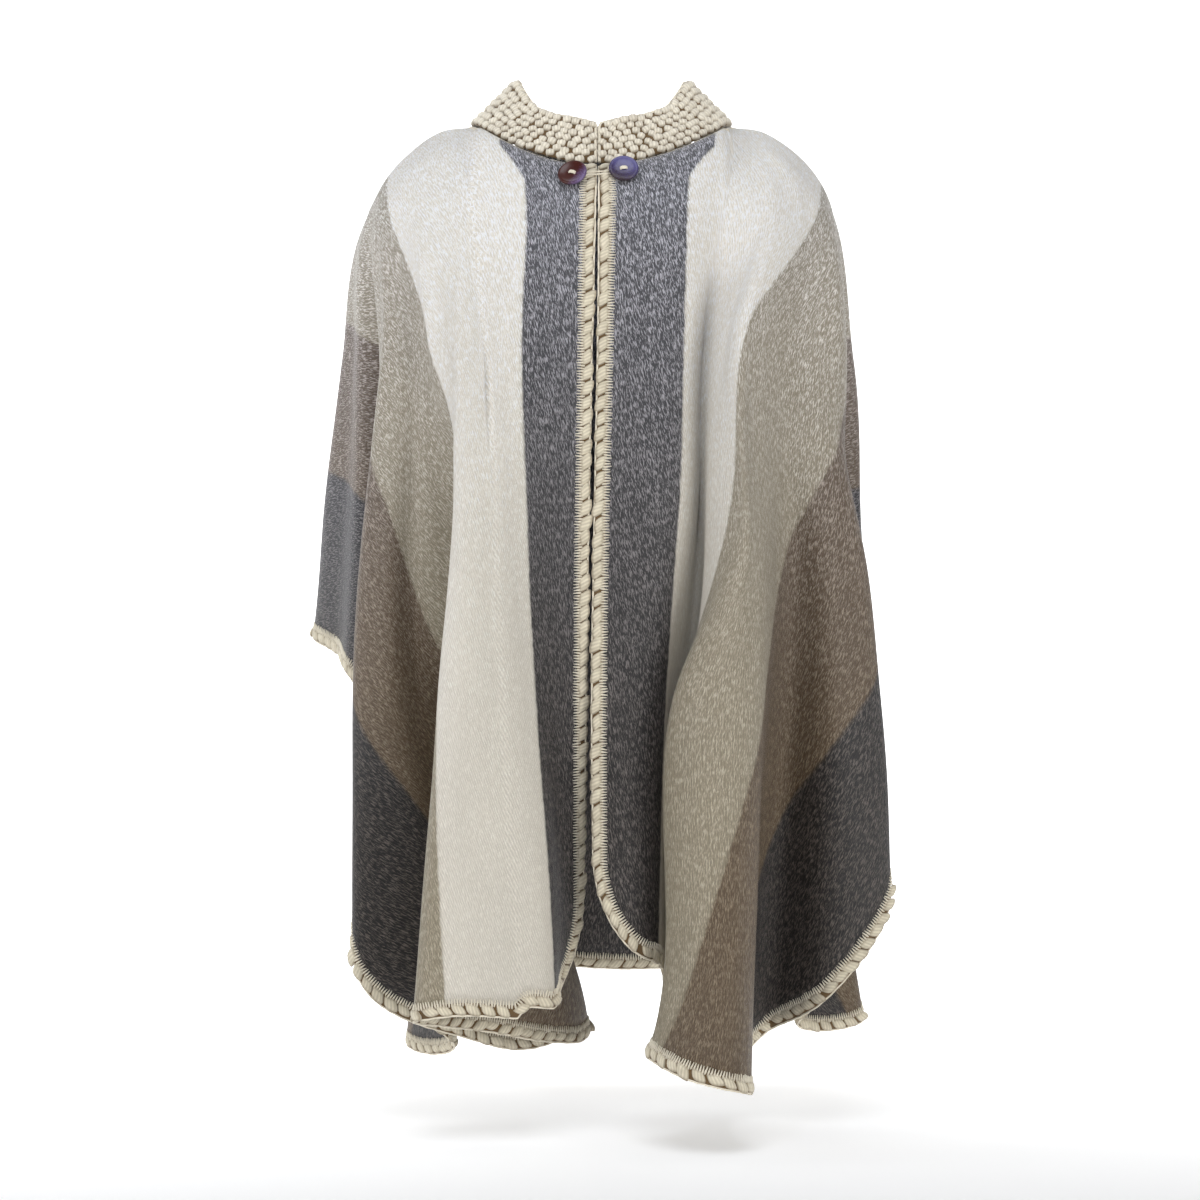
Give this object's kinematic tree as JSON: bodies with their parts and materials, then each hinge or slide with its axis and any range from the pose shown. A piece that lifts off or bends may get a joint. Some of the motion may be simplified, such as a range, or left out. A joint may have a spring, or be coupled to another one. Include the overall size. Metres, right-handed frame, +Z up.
{
  "type": "andean poncho",
  "caption": "Open-front woven wool poncho, striped in creams and browns, with a crocheted stand collar, crocheted edging and two buttons joined by a yarn tie",
  "frame": {"origin": "middle of the neck base, half way between the two shoulder points of the neckline and level with them", "axes": "+Z is up, the front of the garment faces -Y, +X is the wearer's left"},
  "size_m": [0.5582, 0.4823, 0.9608],
  "materials": {
    "striped_cloth": "brushed wool twill with a soft nap, lengthwise stripes in dark grey, cream, beige and taupe",
    "edging_yarn": "cream wool yarn, crocheted shells",
    "collar_yarn": "cream wool yarn, crocheted shells in rows",
    "button_right": "dark red-brown, polished",
    "button_left": "dark red-brown, polished, sheen like shell",
    "tie_yarn": "cream wool yarn"
  },
  "bodies": {
    "root": {"striped_cloth": "striped_cloth", "crocheted_edging": "edging_yarn", "crocheted_collar": "collar_yarn", "button_right": "button_right", "button_left": "button_left", "button_tie": "tie_yarn"}
  },
  "joints": []
}
